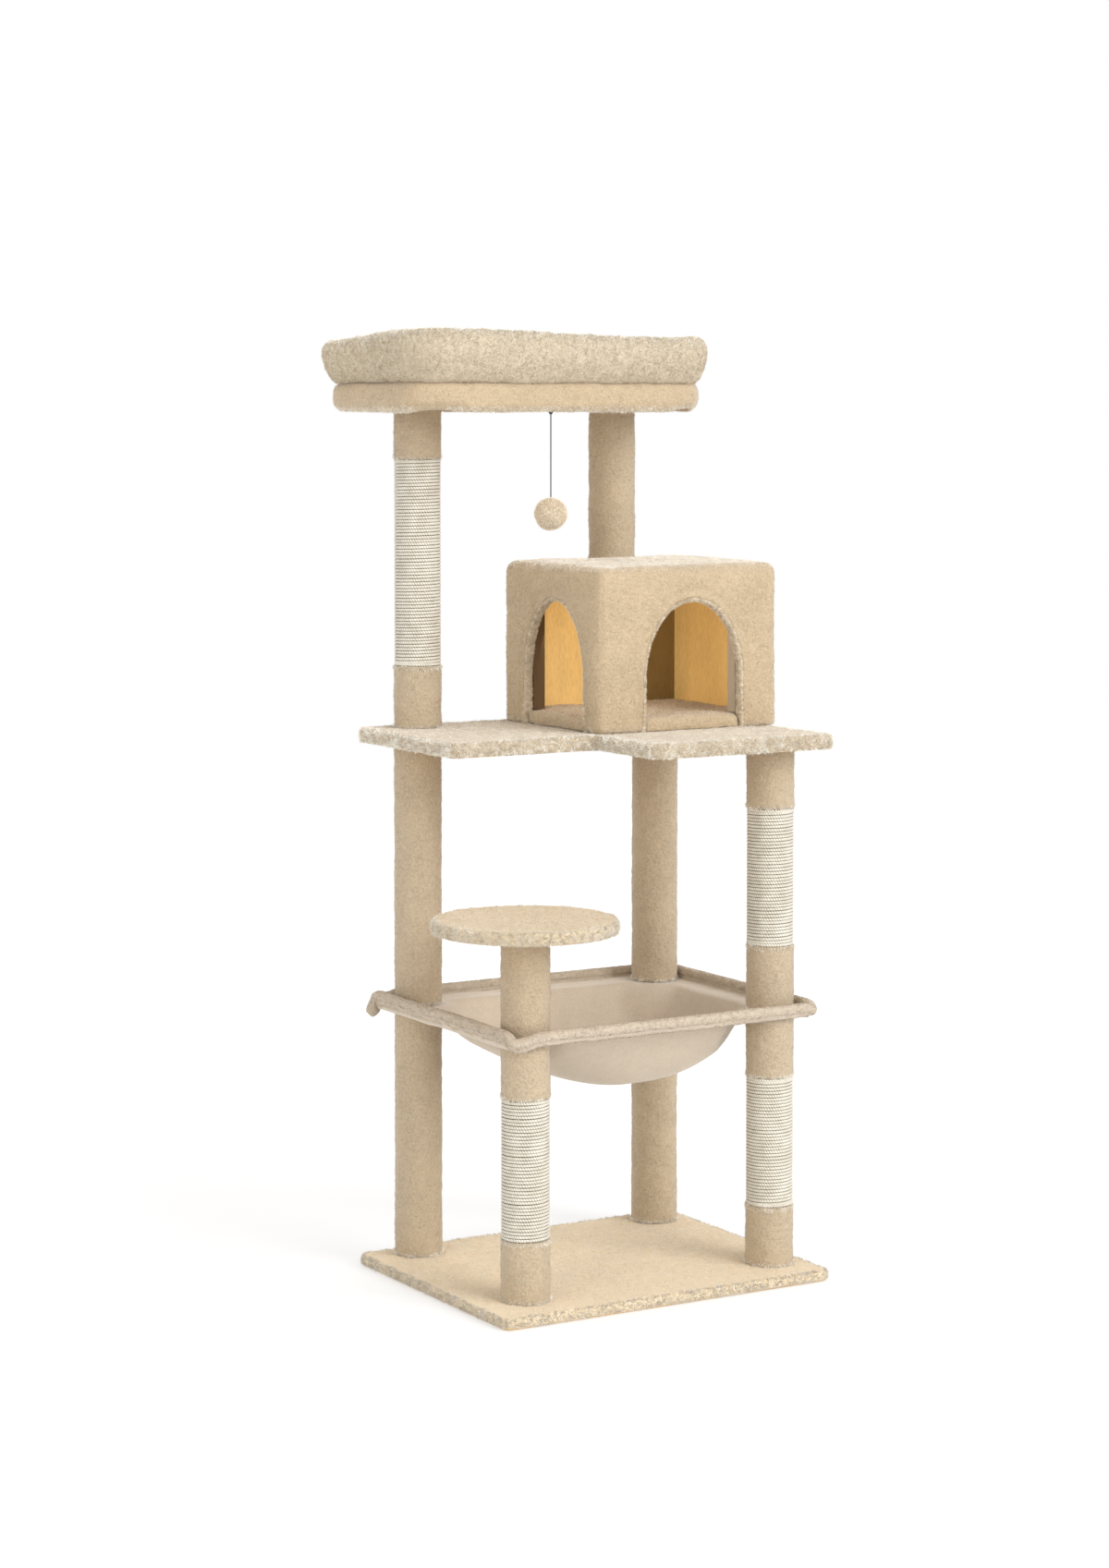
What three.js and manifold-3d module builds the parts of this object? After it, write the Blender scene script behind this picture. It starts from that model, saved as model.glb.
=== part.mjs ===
// A tall cat tree: base, four lower posts with a clamped hammock, a notched middle platform with a two-door
// cave, a round step, and a padded bed on two upper posts with a pompom on a cord hanging below it.
// Millimetres, +Z up. Origin: underside of the base, at its centre. +X runs along the long front edge.
import * as THREE from 'three';
import { mergeVertices } from 'three/addons/utils/BufferGeometryUtils.js';
import Module from 'manifold-3d';

const wasm = await Module();
wasm.setup();

// ---------------------------------------------------------------- driving dimensions
const GAP = 0.3; // between pieces that touch
const PILE = 3; // plush over a board
const BOARD = { bolt: 4, hole: 4.4 }; // radii of the bolts and of their holes

const BASE = { width: 578, depth: 462, thick: 18, corner: 12 };
const POST = { tube: 31, wall: 4, plush: 37, sisal: 36.5, plug: 22, grip: 15, sides: 20 };
const AXIS = { a: [-209, 182], b: [-209, -150], c: [230, 182], d: [230, -150], e: [146, 180] };

const HAMMOCK = {
  z: 410, thick: 8, x: [-270, 280], y: [-200, 240], sag: 112, lowest: [35, 16], corner: 34, cell: 31,
};
const STEP = { radius: 138, bottom: 569, thick: 21 };
const MID = { x: [-289, 289], y: [-240, 235], bottom: 824, thick: 23, notch: [-39, -74], corner: 12 };
const CAVE = {
  x: [-33, 298], y: [-72, 221], top: 1102, cover: 5, wall: 9, roof: 14, edge: 22, arris: 11, pad: 22,
  door: { half: 87.5, spring: 927, top: 1047, trim: 8 }, front: 139.5, side: 62.5, batten: 20,
};
const BED = {
  centre: [-38, 172], width: 525, depth: 345, corner: 70, bottom: 1338, recess: 16, board: 15, inset: 12,
  padTop: 1382, flare: 16, bolster: 46, bolsterTop: 1467,
};
const TOY = {
  x: -25, y: 85, stud: 2, studShown: 0.4, barrel: 4, barrelLong: 17.6, cord: 0.9, play: 1.3,
  pom: 25.5, pomZ: 1180,
};

// ---------------------------------------------------------------- finishes
function finish(color, roughness, metalness = 0) {
  return new THREE.MeshStandardMaterial({ color, roughness, metalness });
}
const PLUSH = finish(0xdcc4a0, 0.95);
const PLUSH_PALE = finish(0xe0d6bc, 0.95);
const SISAL = finish(0xe3d9c4, 0.85);
const WOOD = finish(0xc89f5c, 0.6);
const CARD = finish(0xa88a62, 0.85);
const STEEL = finish(0xb9bcc0, 0.3, 1);
const BLACK = finish(0x17171a, 0.45);

// ---------------------------------------------------------------- solids
const tree = new THREE.Group();

function welded(geometry) {
  const g = geometry.clone();
  for (const name of Object.keys(g.attributes)) if (name !== 'position') g.deleteAttribute(name);
  return mergeVertices(g, 1e-4);
}

// A geometry as a solid, turned right side out.
function solid(geometry) {
  const g = welded(geometry);
  const p = g.attributes.position, index = Array.from(g.index.array), tri = [];
  let volume = 0;
  const v = [0, 1, 2].map(() => new THREE.Vector3());
  for (let i = 0; i < index.length; i += 3) {
    const [a, b, c] = index.slice(i, i + 3);
    if (a === b || b === c || a === c) continue;
    [a, b, c].forEach((n, k) => v[k].fromBufferAttribute(p, n));
    volume += v[0].dot(v[1].clone().cross(v[2]));
    tri.push(a, b, c);
  }
  if (volume < 0) for (let i = 0; i < tri.length; i += 3) [tri[i + 1], tri[i + 2]] = [tri[i + 2], tri[i + 1]];
  const mesh = new wasm.Mesh({
    numProp: 3, vertProperties: new Float32Array(p.array), triVerts: new Uint32Array(tri),
  });
  return new wasm.Manifold(mesh);
}

function add(name, shape, material) {
  const { vertProperties, triVerts } = shape.getMesh();
  const g = new THREE.BufferGeometry();
  g.setAttribute('position', new THREE.BufferAttribute(new Float32Array(vertProperties), 3));
  g.setIndex(Array.from(triVerts));
  g.computeVertexNormals();
  const mesh = new THREE.Mesh(g, material);
  mesh.name = name;
  tree.add(mesh);
}

// An outline raised from z0 to z1, with its two edges rounded by `round`.
function raise(shape, z0, z1, round = 0, curveSegments = 4) {
  const bevel = round > 0
    ? { bevelEnabled: true, bevelSize: round, bevelThickness: round, bevelOffset: -round, bevelSegments: 2 }
    : { bevelEnabled: false };
  const g = new THREE.ExtrudeGeometry(shape, { depth: z1 - z0 - 2 * round, curveSegments, ...bevel });
  return solid(g.translate(0, 0, z0 + round));
}

// A closed profile of [radius, z] points turned about a vertical axis.
function turn(points, [x, y] = [0, 0], sides = POST.sides) {
  const profile = points.map(([r, z]) => new THREE.Vector2(r, z));
  if (points[0][0] > 0) profile.push(profile[0].clone());
  return solid(new THREE.LatheGeometry(profile, sides).rotateX(Math.PI / 2).translate(x, y, 0));
}

const rod = (radius, z0, z1, at, sides) => turn([[0, z0], [radius, z0], [radius, z1], [0, z1]], at, sides);
const ring = (inner, outer, z0, z1, at) => turn([[inner, z0], [outer, z0], [outer, z1], [inner, z1]], at);

function block([x0, x1], [y0, y1], [z0, z1]) {
  const g = new THREE.BoxGeometry(x1 - x0, y1 - y0, z1 - z0);
  return solid(g.translate((x0 + x1) / 2, (y0 + y1) / 2, (z0 + z1) / 2));
}

// A polygon whose corners are rounded; a corner's own radius may follow its x and y.
function outline(points, radius) {
  const shape = new THREE.Shape();
  const at = points.map(([x, y]) => new THREE.Vector2(x, y));
  at.forEach((corner, i) => {
    const r = points[i][2] ?? radius;
    const before = at.at(i - 1).clone().sub(corner).setLength(r).add(corner);
    const after = at[(i + 1) % at.length].clone().sub(corner).setLength(r).add(corner);
    if (i === 0) shape.moveTo(before.x, before.y);
    else shape.lineTo(before.x, before.y);
    // a cubic with these handles follows a quarter circle
    const h = 0.5523;
    const c1 = before.clone().lerp(corner, h), c2 = after.clone().lerp(corner, h);
    shape.bezierCurveTo(c1.x, c1.y, c2.x, c2.y, after.x, after.y);
  });
  shape.closePath();
  return shape;
}

function rectangle([x0, x1], [y0, y1], radius, inset = 0) {
  const [l, r, f, b] = [x0 + inset, x1 - inset, y0 + inset, y1 - inset];
  return outline([[l, f], [r, f], [r, b], [l, b]], Math.max(radius - inset, 1));
}

// ---------------------------------------------------------------- boards with plush over top and sides
// `shape(inset)` gives the outline drawn in by `inset`; `holes` cut the cover, `sockets` cut the board.
function platform(name, shape, bottom, thick, holes, sockets = holes) {
  const lid = bottom + thick - PILE;
  let cover = raise(shape(0), bottom, bottom + thick, 4).subtract(raise(shape(PILE), bottom - 5, lid));
  let board = raise(shape(PILE + GAP), bottom, lid - GAP);
  for (const hole of holes) cover = cover.subtract(hole);
  for (const socket of sockets) board = board.subtract(socket);
  add(`${name}_board`, board, WOOD);
  add(`${name}_cover`, cover, PLUSH);
}

const bore = (at, z0, z1) => rod(BOARD.hole, z0, z1, at, 16);

// ---------------------------------------------------------------- base, with a bolt up into each lower post
const [baseX, baseY] = [BASE.width, BASE.depth].map((side) => [-side / 2, side / 2]);
const baseShape = (inset) => rectangle(baseX, baseY, BASE.corner, inset);
const feet = ['a', 'b', 'c', 'd'];
const bolted = feet.map((p) => bore(AXIS[p], -5, BASE.thick + 5).add(rod(8.6, -5, 5.4, AXIS[p], 16)));
platform('base', baseShape, 0, BASE.thick, bolted);
for (const p of feet) {
  const shank = rod(BOARD.bolt, 3, BASE.thick + POST.grip, AXIS[p], 12);
  add(`base_bolt_${p}`, rod(8, 1, 5, AXIS[p], 12).add(shank), STEEL);
}

// ---------------------------------------------------------------- posts
// A cardboard tube with a plug glued in each end: the lower plug is bored, the upper one carries a stud that
// stands out by `stud`. Plush covers the tube, except where sisal rope is wound on from z s0 to s1.
function post(name, at, z0, z1, stud, wound) {
  const [bottom, top] = [z0 + GAP, z1 - GAP];
  const { tube, wall, plug, plush, sisal } = POST;
  add(`${name}_tube`, turn([
    [0, top - plug], [tube - wall, top - plug], [tube - wall, bottom + plug], [BOARD.hole, bottom + plug],
    [BOARD.hole, bottom], [tube, bottom], [tube, top], [BOARD.bolt, top],
    [BOARD.bolt, top + stud], [0, top + stud],
  ], at), CARD);
  const inner = tube + GAP;
  if (!wound) {
    add(`${name}_plush`, ring(inner, plush, bottom, top, at), PLUSH);
    return;
  }
  add(`${name}_plush_low`, ring(inner, plush, bottom, wound[0] - GAP, at), PLUSH);
  add(`${name}_sisal`, ring(inner, sisal, wound[0], wound[1], at), SISAL);
  add(`${name}_plush_high`, ring(inner, plush, wound[1] + GAP, top, at), PLUSH);
}

const hang = [HAMMOCK.z - HAMMOCK.thick / 2, HAMMOCK.z + HAMMOCK.thick / 2]; // underside and top of the cloth
const midTop = MID.bottom + MID.thick;
const bedUnder = BED.bottom + BED.recess; // underside of the bed's board, up inside the pad's rim
const through = (thick) => thick + 2 * GAP + POST.grip - 3; // a stud's length through something this thick
const socket = 12; // a stud's length into a board that it doesn't pass

post('post_a_lower', AXIS.a, BASE.thick, hang[0], through(HAMMOCK.thick));
post('post_b_lower', AXIS.b, BASE.thick, hang[0], through(HAMMOCK.thick), [112, 322]);
post('post_c_lower', AXIS.c, BASE.thick, hang[0], through(HAMMOCK.thick));
post('post_d_lower', AXIS.d, BASE.thick, hang[0], through(HAMMOCK.thick), [112, 312]);
post('post_a_middle', AXIS.a, hang[1], MID.bottom, through(MID.thick));
post('post_b_upper', AXIS.b, hang[1], STEP.bottom, socket);
post('post_c_upper', AXIS.c, hang[1], MID.bottom, socket);
post('post_d_upper', AXIS.d, hang[1], MID.bottom, socket, [517, 729]);
post('post_a_upper', AXIS.a, midTop, bedUnder, socket, [945, 1266]);
post('post_e', AXIS.e, CAVE.top, bedUnder, socket);

// ---------------------------------------------------------------- hammock
// One cloth clamped between the post sections near its four corners. It is level round the posts and along
// its hems and sags in the middle, fullest a little to the right.
function hammock() {
  const { x: [x0, x1], y: [y0, y1], thick, sag, lowest, cell } = HAMMOCK;
  // 1 at the lowest point, falling to 0 at the posts' axes
  const belly = (at, low, from, to, power) => {
    const t = at < low ? (low - at) / (low - from) : (at - low) / (to - low);
    return Math.max(0, 1 - t ** power);
  };
  const bowl = (x, y) => {
    const u = belly(x, lowest[0], AXIS.a[0], AXIS.c[0], x < lowest[0] ? 2.1 : 3);
    const v = belly(y, lowest[1], AXIS.b[1], AXIS.a[1], 2.4);
    const away = Math.min(...feet.map((p) => Math.hypot(x - AXIS[p][0], y - AXIS[p][1])));
    return -sag * u * v * THREE.MathUtils.smoothstep(away, 60, 120);
  };
  const nx = Math.round((x1 - x0) / cell), ny = Math.round((y1 - y0) / cell);
  const g = new THREE.BoxGeometry(x1 - x0, y1 - y0, thick, nx, ny, 1);
  g.translate((x0 + x1) / 2, (y0 + y1) / 2, 0);
  const p = g.attributes.position;
  for (let i = 0; i < p.count; i++) p.setZ(i, p.getZ(i) + HAMMOCK.z + bowl(p.getX(i), p.getY(i)));
  let cloth = solid(g).intersect(raise(rectangle([x0, x1], [y0, y1], HAMMOCK.corner), 100, 500));
  for (const foot of feet) cloth = cloth.subtract(bore(AXIS[foot], 350, 450));
  return cloth;
}
add('hammock', hammock(), PLUSH);

// ---------------------------------------------------------------- round step on post B
const disc = (inset) => new THREE.Shape().absarc(AXIS.b[0], AXIS.b[1], STEP.radius - inset, 0, 2 * Math.PI);
{
  const lid = STEP.bottom + STEP.thick - PILE;
  const cover = raise(disc(0), STEP.bottom, STEP.bottom + STEP.thick, 4, 24)
    .subtract(raise(disc(PILE), STEP.bottom - 5, lid, 0, 24));
  const board = raise(disc(PILE + GAP), STEP.bottom, lid - GAP, 0, 24);
  add('step_board', board.subtract(bore(AXIS.b, STEP.bottom - 5, STEP.bottom + socket + 1)), WOOD);
  add('step_cover', cover, PLUSH);
}

// ---------------------------------------------------------------- middle platform, notched at its front left
function midShape(inset) {
  const [l, r, f, b] = [MID.x[0] + inset, MID.x[1] - inset, MID.y[0] + inset, MID.y[1] - inset];
  const [nx, ny] = [MID.notch[0] + inset, MID.notch[1] + inset];
  return outline([[nx, f], [r, f], [r, b], [l, b], [l, ny], [nx, ny, 6]], MID.corner - inset);
}
const midBore = bore(AXIS.a, MID.bottom - 5, midTop + 5);
const blind = ['c', 'd'].map((p) => bore(AXIS[p], MID.bottom - 5, MID.bottom + socket + 1));
platform('mid', midShape, MID.bottom, MID.thick, [midBore], [midBore, ...blind]);

// ---------------------------------------------------------------- cave
// A door's outline, standing on z = low: straight jambs under half an ellipse, `out` wider than the opening.
function doorShape(centre, low, out) {
  const { half, spring, top } = CAVE.door;
  const shape = new THREE.Shape();
  shape.moveTo(centre - half - out, low);
  shape.lineTo(centre + half + out, low);
  shape.lineTo(centre + half + out, spring);
  shape.absellipse(centre, spring, half + out, top - spring + out, 0, Math.PI);
  shape.closePath();
  return shape;
}

// An upright slab with the outline drawn in X and Z, from y0 to y1.
function uprightX(shape, [y0, y1]) {
  const g = new THREE.ExtrudeGeometry(shape, { depth: y1 - y0, bevelEnabled: false, curveSegments: 14 });
  return solid(g.rotateX(Math.PI / 2).translate(0, y1, 0));
}
// The same with the outline in Y and Z, from x0 to x1.
function uprightY(shape, [x0, x1]) {
  const g = new THREE.ExtrudeGeometry(shape, { depth: x1 - x0, bevelEnabled: false, curveSegments: 14 });
  return solid(g.rotateX(Math.PI / 2).rotateZ(Math.PI / 2).translate(x0, 0, 0));
}

{
  const { x: [x0, x1], y: [y0, y1], top, cover, wall, roof, edge, arris, pad } = CAVE;
  const { door, front, side, batten } = CAVE;
  const floor = midTop + GAP;
  const out = door.trim + GAP;
  const frontHole = uprightX(doorShape(front, floor - 9, out), [y0 - 9, y0 + cover + wall + 3]);
  const sideHole = uprightY(doorShape(side, floor - 9, out), [x0 - 9, x0 + cover + wall + 3]);
  const roofTop = top - cover;
  // the inside of the cover, and the outside faces of the walls a gap within it
  const [ix, iy] = [[x0 + cover, x1 - cover], [y0 + cover, y1 - cover]];
  const [gx, gy] = [[ix[0] + GAP, ix[1] - GAP], [iy[0] + GAP, iy[1] - GAP]];
  const eaves = roofTop - GAP - roof; // the walls end here and the roof lies on them
  const boltHole = bore(AXIS.e, eaves - 20, top + 9);

  // a box whose upright edges and top edge are eased by `radius`
  const eased = (x, y, z0, z1, radius) => raise(rectangle(x, y, radius), z0, z1, radius * 0.7)
    .add(raise(rectangle(x, y, radius), z0, z1 - radius));
  const shell = eased(CAVE.x, CAVE.y, floor, top, edge);
  const inside = eased(ix, iy, floor - 9, roofTop, arris);
  const boards = eased(gx, gy, floor, roofTop - GAP, arris); // what the walls and roof are cut from
  add('cave_cover', shell.subtract(inside).subtract(frontHole).subtract(sideHole).subtract(boltHole), PLUSH);

  const high = [floor, eaves - GAP];
  const between = [gy[0] + wall + GAP, gy[1] - wall - GAP];
  const board = (x, y, z) => boards.intersect(block(x, y, z));
  add('cave_wall_front', board(gx, [gy[0], gy[0] + wall], high).subtract(frontHole), WOOD);
  add('cave_wall_back', board(gx, [gy[1] - wall, gy[1]], high), WOOD);
  add('cave_wall_left', board([gx[0], gx[0] + wall], between, high).subtract(sideHole), WOOD);
  add('cave_wall_right', board([gx[1] - wall, gx[1]], between, high), WOOD);
  add('cave_roof', board(gx, gy, [eaves, roofTop - GAP]).subtract(boltHole), WOOD);

  const room = { x: [gx[0] + wall + GAP, gx[1] - wall - GAP], y: [between[0], between[1]] };
  const padTop = floor + pad;
  const padShape = rectangle(room.x, room.y, 8, 0.5);
  // the pad reaches out under both doors, to the outside of the wall
  const sill = (x, y) => raise(rectangle(x, y, 4), floor, padTop);
  const frontSill = sill([front - door.half + 1, front + door.half - 1], [y0 + 3, room.y[0] + 30]);
  const sideSill = sill([x0 + 3, room.x[0] + 30], [side - door.half + 1, side + door.half - 1]);
  add('cave_pad', raise(padShape, floor, padTop).add(frontSill).add(sideSill), PLUSH);

  // square battens stand on the pad against the front and left walls, one jamb of each door
  const [jambX, jambY] = [front + door.half - 2, side + door.half - 2];
  const upright = (x, y) => block([x, x + batten], [y, y + batten], [padTop + GAP, high[1]]);
  add('cave_batten_front', upright(jambX, room.y[0]), WOOD);
  add('cave_batten_left', upright(room.x[0], jambY), WOOD);
  add('cave_roof_bolt', rod(8, eaves - GAP - 4, eaves - GAP, AXIS.e, 12)
    .add(rod(BOARD.bolt, eaves - GAP - 2, top + POST.grip, AXIS.e, 12)), STEEL);

  // fleecy strip round each door, over the cut edge of wall and cover
  const proud = 2.5;
  const trimmed = (make, centre, reach) => {
    const past = [reach[0] - 5, reach[1] + 5];
    const opening = make(doorShape(centre, floor - 9, 0), past);
    return make(doorShape(centre, floor, door.trim), reach).subtract(opening);
  };
  add('door_trim_front', trimmed(uprightX, front, [y0 - proud, gy[0] + wall]), PLUSH_PALE);
  add('door_trim_left', trimmed(uprightY, side, [x0 - proud, gx[0] + wall]), PLUSH_PALE);
}

// ---------------------------------------------------------------- bed at the top
// A covered board set up inside a thick pad whose rim hangs round it, with a bolster on the pad's edge.
{
  const { centre: [cx, cy], width, depth, corner, bottom, board, inset, padTop } = BED;
  const { flare, bolster, bolsterTop } = BED;
  const [spanX, spanY] = [[cx - width / 2, cx + width / 2], [cy - depth / 2, cy + depth / 2]];
  const bedShape = (drawnIn) => rectangle(spanX, spanY, corner, drawnIn);
  const cover = board + GAP + PILE; // the covered board's height
  const sockets = [AXIS.a, AXIS.e].map((at) => bore(at, bedUnder - 5, bedUnder + socket + 1));
  sockets.push(rod(TOY.stud + 0.3, bedUnder - 5, bedUnder + 9.5, [TOY.x, TOY.y], 12));
  platform('bed', (drawnIn) => bedShape(drawnIn + inset), bedUnder, cover, [], sockets);

  const pocket = raise(bedShape(inset - GAP), bottom - 5, bedUnder + cover + GAP);
  add('bed_pad', raise(bedShape(0), bottom, padTop, 7, 6).subtract(pocket), PLUSH);

  const rim = raise(bedShape(-flare), padTop + GAP, bolsterTop, 14, 6);
  const hollow = raise(bedShape(bolster - flare), padTop - 5, bolsterTop + 9, 0, 6);
  add('bed_bolster', rim.subtract(hollow), PLUSH_PALE);
}

// ---------------------------------------------------------------- toy
{
  const at = [TOY.x, TOY.y];
  const under = bedUnder - TOY.studShown; // top of the barrel
  const exit = under - GAP - TOY.barrelLong; // bottom of the barrel
  add('toy_stud', rod(TOY.stud, under, bedUnder + 9, at, 12), STEEL);
  const { barrel } = TOY;
  add('toy_barrel', turn([
    [0, exit], [barrel - 1.6, exit], [barrel, exit + 5], [barrel, exit + 8.4], [barrel - 0.6, exit + 8.8],
    [barrel - 0.6, exit + 9.4], [barrel, exit + 9.8], [barrel, exit + TOY.barrelLong - 0.8],
    [barrel - 0.8, exit + TOY.barrelLong], [0, exit + TOY.barrelLong],
  ], at, 16), BLACK);

  const pomTop = TOY.pomZ + TOY.pom;
  const [z0, z1] = [pomTop + 4 * GAP, exit - TOY.play];
  const path = new THREE.LineCurve3(new THREE.Vector3(...at, z1), new THREE.Vector3(...at, z0));
  const section = new THREE.Shape();
  for (let k = 0; k < 8; k++) {
    const turnBy = (k * Math.PI) / 4, [sx, sy] = [TOY.cord * Math.cos(turnBy), TOY.cord * Math.sin(turnBy)];
    if (k === 0) section.moveTo(sx, sy);
    else section.lineTo(sx, sy);
  }
  section.closePath();
  const cord = new THREE.ExtrudeGeometry(section, { extrudePath: path, steps: 20, bevelEnabled: false });
  add('toy_cord', solid(cord), BLACK);
  const ball = new THREE.SphereGeometry(TOY.pom, 16, 10).rotateX(Math.PI / 2).translate(...at, TOY.pomZ);
  add('toy_pompom', solid(ball), PLUSH_PALE);
}

export default tree;
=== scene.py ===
"""Looks of the cat tree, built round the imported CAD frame. Metres, +Z up, floor at z = 0."""
import math

import bmesh
import bpy
import numpy as np
from mathutils import Matrix, Vector
from mathutils.kdtree import KDTree


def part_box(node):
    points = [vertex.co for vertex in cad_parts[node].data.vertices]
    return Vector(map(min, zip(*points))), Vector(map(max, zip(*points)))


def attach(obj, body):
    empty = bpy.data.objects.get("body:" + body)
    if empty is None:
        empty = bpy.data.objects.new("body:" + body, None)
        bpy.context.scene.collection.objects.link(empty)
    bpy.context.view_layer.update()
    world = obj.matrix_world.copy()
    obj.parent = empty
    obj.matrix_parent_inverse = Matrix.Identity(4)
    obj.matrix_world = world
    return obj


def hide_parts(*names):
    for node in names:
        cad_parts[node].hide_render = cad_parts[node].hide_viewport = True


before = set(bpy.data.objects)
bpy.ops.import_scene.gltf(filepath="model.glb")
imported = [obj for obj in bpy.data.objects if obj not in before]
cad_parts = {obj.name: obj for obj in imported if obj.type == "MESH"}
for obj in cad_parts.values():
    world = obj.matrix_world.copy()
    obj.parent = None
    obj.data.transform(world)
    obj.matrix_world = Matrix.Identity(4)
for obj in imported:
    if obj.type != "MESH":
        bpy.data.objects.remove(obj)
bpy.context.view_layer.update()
scene = bpy.context.scene
TREE, LINE, BALL = "tree", "toy_line", "toy_ball"
PI = math.pi


# -------------------- camera
def camera():
    data = bpy.data.cameras.new("camera")
    data.sensor_width = 36
    data.lens = 78.61
    data.shift_x, data.shift_y = 0.0082, -0.1467
    data.clip_end = 50
    cam = bpy.data.objects.new("camera", data)
    cam.location = (-2.7644, -4.5025, 1.3509)
    cam.rotation_euler = (math.radians(90 - 2.5), 0, -math.radians(30.69))
    scene.collection.objects.link(cam)
    scene.camera = cam


# -------------------- numbers
LATTICE = np.random.default_rng(11).random((32, 32, 32)) * 2 - 1


def noise(p, size, seed=0):
    """Smooth noise from -1 to 1 at the points p, with lumps about `size` across."""
    q = np.asarray(p, float) / size + seed * 5.37
    cell = np.floor(q).astype(int)
    f = q - cell
    f = f * f * (3 - 2 * f)
    total = 0
    for corner in np.ndindex(2, 2, 2):
        w = np.where(corner, f, 1 - f)
        i = (cell + corner) % 32
        total = total + w[..., 0] * w[..., 1] * w[..., 2] * LATTICE[i[..., 0], i[..., 1], i[..., 2]]
    return total


def unit(v):
    return v / np.maximum(np.linalg.norm(v, axis=-1, keepdims=True), 1e-12)


def circle(count):
    """Angles spread evenly over a full turn."""
    return np.linspace(0, 2 * PI, count, endpoint=False)


def smoothstep(x, lo, hi):
    t = np.clip((x - lo) / (hi - lo), 0, 1)
    return t * t * (3 - 2 * t)


# -------------------- meshes
def add_object(name, me, material=None):
    obj = bpy.data.objects.new(name, me)
    scene.collection.objects.link(obj)
    if material:
        me.materials.append(material)
    return obj


def add_mesh(name, verts, faces, material, smooth=True):
    """An object from points and faces that all have the same number of corners."""
    faces = np.asarray(faces, np.int32)
    me = bpy.data.meshes.new(name)
    me.vertices.add(len(verts))
    me.vertices.foreach_set("co", np.asarray(verts, np.float32).ravel())
    me.loops.add(faces.size)
    me.loops.foreach_set("vertex_index", faces.ravel())
    me.polygons.add(len(faces))
    me.polygons.foreach_set("loop_start", np.arange(0, faces.size, faces.shape[1], dtype=np.int32))
    me.polygons.foreach_set("use_smooth", np.full(len(faces), smooth))
    me.update(calc_edges=True)
    return add_object(name, me, material)


def from_bmesh(name, bm, material=None):
    me = bpy.data.meshes.new(name)
    bm.to_mesh(me)
    bm.free()
    return add_object(name, me, material)


def lattice_faces(rows, columns, closed):
    """Quads between rings of points; `closed` joins the last ring to the first."""
    r, c = np.meshgrid(np.arange(rows if closed else rows - 1), np.arange(columns), indexing="ij")
    here, above = r * columns, (r + 1) % rows * columns
    c2 = (c + 1) % columns
    return np.stack([here + c, here + c2, above + c2, above + c], -1).reshape(-1, 4)


def piece(obj, replaces=(), body=TREE):
    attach(obj, body)
    if replaces:
        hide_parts(*replaces)
    return obj


def vectors(items, key):
    values = np.empty(len(items) * 3, np.float32)
    items.foreach_get(key, values)
    return values.reshape(-1, 3).astype(float)


def coords(obj):
    return vectors(obj.data.vertices, "co")


def set_coords(obj, co):
    obj.data.vertices.foreach_set("co", np.asarray(co, np.float32).ravel())
    obj.data.update()


def normals(obj):
    return vectors(obj.data.vertex_normals, "vector")


def smooth_faces(obj):
    obj.data.polygons.foreach_set("use_smooth", np.ones(len(obj.data.polygons), bool))


def bake_modifiers(obj):
    made = bpy.data.meshes.new_from_object(obj.evaluated_get(bpy.context.evaluated_depsgraph_get()))
    obj.modifiers.clear()
    obj.data = made


def keep_above(obj, height):
    co = coords(obj)
    co[:, 2] = np.maximum(co[:, 2], height)
    set_coords(obj, co)


def lump(obj, *layers):
    """Pushes the surface in and out along its normals by (size, height) layers of noise."""
    co, n = coords(obj), normals(obj)
    push = sum(noise(co, size, k + 1) * height for k, (size, height) in enumerate(layers))
    set_coords(obj, co + n * push[:, None])


# -------------------- outlines of right-angled shapes
def outline(corners, radius, inset=0.0, step=0.004):
    """Points round an anticlockwise polygon of right angles, drawn in by `inset`, with rounded corners.

    A corner's third number, if it has one, is its own radius.
    """
    p = np.array([c[:2] for c in corners], float)
    forward = unit(np.roll(p, -1, 0) - p)
    back = unit(np.roll(p, 1, 0) - p)
    turn = forward[:, 0] * -back[:, 1] - forward[:, 1] * -back[:, 0]
    convex = turn < 0
    p = p + np.where(convex, 1, -1)[:, None] * (forward + back) * inset
    points = []
    for i, corner in enumerate(p):
        own = corners[i][2] if len(corners[i]) > 2 else radius
        r = max(own + (-inset if convex[i] else inset), 0.001)
        centre = corner + (forward[i] + back[i]) * r
        a0 = math.atan2(*(-forward[i])[::-1])
        a1 = math.atan2(*(-back[i])[::-1])
        sweep = (a1 - a0 + PI) % (2 * PI) - PI
        for t in np.linspace(0, 1, max(3, round(r * PI / 2 / step) + 1)):
            points.append(centre + r * np.array([math.cos(a0 + sweep * t), math.sin(a0 + sweep * t)]))
    return np.array(points)


def rectangle(lo, hi):
    return [(lo[0], lo[1]), (hi[0], lo[1]), (hi[0], hi[1]), (lo[0], hi[1])]


def inside_of(p, lo, hi):
    """How far in from the nearest side of a rectangle each point lies."""
    return np.min([p[:, 0] - lo[0], hi[0] - p[:, 0], p[:, 1] - lo[1], hi[1] - p[:, 1]], axis=0)


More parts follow.
